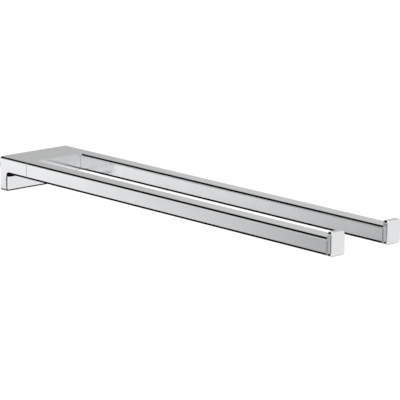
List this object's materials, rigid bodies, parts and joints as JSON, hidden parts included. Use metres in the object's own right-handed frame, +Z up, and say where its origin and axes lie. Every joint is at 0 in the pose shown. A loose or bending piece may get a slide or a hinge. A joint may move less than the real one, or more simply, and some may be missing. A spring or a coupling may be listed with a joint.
{
  "type": "towel rack",
  "caption": "Chrome wall-mounted towel rack with parallel fixed arms of square tube, raised end stops and an L-shaped housing that hides its wall bracket.",
  "frame": {"origin": "centre of the wall bracket's back face, on the wall plane, midway between the wall screws", "axes": "+Z up, +Y into the wall, arms reach out along -Y, +X to the right of a person facing the wall"},
  "size_m": [0.0798, 0.4859, 0.0368],
  "materials": {
    "chrome_plate": "polished",
    "zinc_plated_steel": "satin",
    "stainless_steel": "satin",
    "raw_brass": "satin"
  },
  "bodies": {
    "wall_fixing": {"wall_bracket": "zinc_plated_steel", "left_wall_screw": "stainless_steel", "right_wall_screw": "stainless_steel", "left_wall_washer": "stainless_steel", "right_wall_washer": "stainless_steel"},
    "rack": {"wall_housing": "chrome_plate", "left_arm": "chrome_plate", "right_arm": "chrome_plate", "left_end_stop": "chrome_plate", "right_end_stop": "chrome_plate", "left_root_plug": "raw_brass", "right_root_plug": "raw_brass", "left_arm_screw": "zinc_plated_steel", "right_arm_screw": "zinc_plated_steel", "left_lock_washer": "zinc_plated_steel", "right_lock_washer": "zinc_plated_steel"},
    "left_grub": {"left_grub_screw": "stainless_steel"},
    "right_grub": {"right_grub_screw": "stainless_steel"}
  },
  "joints": [
    {"name": "rack_pull_off", "type": "slide", "parent": "wall_fixing", "child": "rack", "axis": [0, -1, 0], "range_m": [0, 0.04]},
    {"name": "left_grub_travel", "type": "slide", "parent": "rack", "child": "left_grub", "axis": [0, 0, -1], "range_m": [0, 0.002]},
    {"name": "right_grub_travel", "type": "slide", "parent": "rack", "child": "right_grub", "axis": [0, 0, -1], "range_m": [0, 0.002]}
  ]
}
